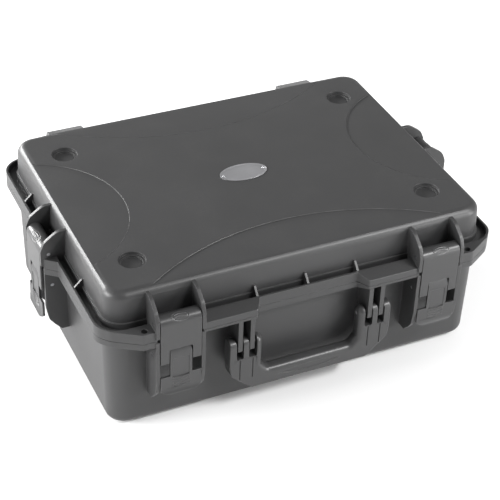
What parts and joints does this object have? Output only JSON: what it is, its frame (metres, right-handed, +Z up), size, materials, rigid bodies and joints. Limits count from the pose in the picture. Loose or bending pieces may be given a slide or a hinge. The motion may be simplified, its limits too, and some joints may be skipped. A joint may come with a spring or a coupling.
{
  "type": "drone carrying case",
  "caption": "Hard plastic carrying case for a drone, with hinged lid, draw latches, folding front handle, stacking pockets and cut foam inside.",
  "frame": {"origin": "on the floor under the middle of the case, which is also midway between the feet", "axes": "+X along the front towards the right end, +Y towards the hinges, +Z up; the handle and two latches face -Y"},
  "size_m": [0.603, 0.459, 0.2189],
  "materials": {
    "shell_plastic": "fine-grained moulded polypropylene, charcoal",
    "latch_plastic": "smooth satin moulded nylon, charcoal",
    "handle_plastic": "satin moulded nylon, charcoal",
    "pin_steel": "drawn steel rod",
    "badge_metal": "fine brushed, bare",
    "rubber": "matt black rubber",
    "foam": "open-cell charcoal foam"
  },
  "bodies": {
    "base": {"base_shell": "shell_plastic", "rim_gasket": "rubber", "foam_floor_pad": "foam", "foam_insert": "foam", "hinge_pin_left": "pin_steel", "hinge_pin_right": "pin_steel", "handle_pin_left": "pin_steel", "handle_pin_right": "pin_steel", "foot_front_left": "rubber", "foot_front_right": "rubber", "foot_back_left": "rubber", "foot_back_right": "rubber", "keeper_rod_front_left": "pin_steel", "keeper_rod_front_right": "pin_steel", "keeper_rod_left": "pin_steel", "keeper_rod_right": "pin_steel"},
    "lid": {"lid_shell": "shell_plastic", "foam_lid": "foam", "nameplate": "badge_metal", "nameplate_rivets": "badge_metal", "latch_pin_front_left": "pin_steel", "latch_pin_front_right": "pin_steel", "latch_pin_left": "pin_steel", "latch_pin_right": "pin_steel"},
    "handle": {"front_handle": "handle_plastic"},
    "plate_front_left": {"latch_plate_front_left": "latch_plastic", "lever_pin_front_left": "pin_steel"},
    "lever_front_left": {"latch_lever_front_left": "latch_plastic"},
    "plate_front_right": {"latch_plate_front_right": "latch_plastic", "lever_pin_front_right": "pin_steel"},
    "lever_front_right": {"latch_lever_front_right": "latch_plastic"},
    "plate_left": {"latch_plate_left": "latch_plastic", "lever_pin_left": "pin_steel"},
    "lever_left": {"latch_lever_left": "latch_plastic"},
    "plate_right": {"latch_plate_right": "latch_plastic", "lever_pin_right": "pin_steel"},
    "lever_right": {"latch_lever_right": "latch_plastic"}
  },
  "joints": [
    {"name": "lid_hinge", "type": "hinge", "parent": "base", "child": "lid", "pos_m": [0, 0.222, 0.161], "axis": [-1, 0, 0], "range_deg": [0, 100]},
    {"name": "handle_fold", "type": "hinge", "parent": "base", "child": "handle", "pos_m": [0, -0.21475, 0.113], "axis": [-1, 0, 0], "range_deg": [0, 100]},
    {"name": "plate_front_left_swing", "type": "hinge", "parent": "lid", "child": "plate_front_left", "pos_m": [-0.1827, -0.216, 0.18], "axis": [-1, 0, 0], "range_deg": [0, 100]},
    {"name": "lever_front_left_lift", "type": "hinge", "parent": "plate_front_left", "child": "lever_front_left", "pos_m": [-0.1827, -0.2205, 0.135], "axis": [-1, 0, 0], "range_deg": [0, 70]},
    {"name": "plate_front_right_swing", "type": "hinge", "parent": "lid", "child": "plate_front_right", "pos_m": [0.1827, -0.216, 0.18], "axis": [-1, 0, 0], "range_deg": [0, 100]},
    {"name": "lever_front_right_lift", "type": "hinge", "parent": "plate_front_right", "child": "lever_front_right", "pos_m": [0.1827, -0.2205, 0.135], "axis": [-1, 0, 0], "range_deg": [0, 70]},
    {"name": "plate_left_swing", "type": "hinge", "parent": "lid", "child": "plate_left", "pos_m": [-0.288, 0, 0.18], "axis": [0, 1, 0], "range_deg": [0, 100]},
    {"name": "lever_left_lift", "type": "hinge", "parent": "plate_left", "child": "lever_left", "pos_m": [-0.2925, 0, 0.135], "axis": [0, 1, 0], "range_deg": [0, 70]},
    {"name": "plate_right_swing", "type": "hinge", "parent": "lid", "child": "plate_right", "pos_m": [0.288, 0, 0.18], "axis": [0, -1, 0], "range_deg": [0, 100]},
    {"name": "lever_right_lift", "type": "hinge", "parent": "plate_right", "child": "lever_right", "pos_m": [0.2925, 0, 0.135], "axis": [0, -1, 0], "range_deg": [0, 70]}
  ]
}
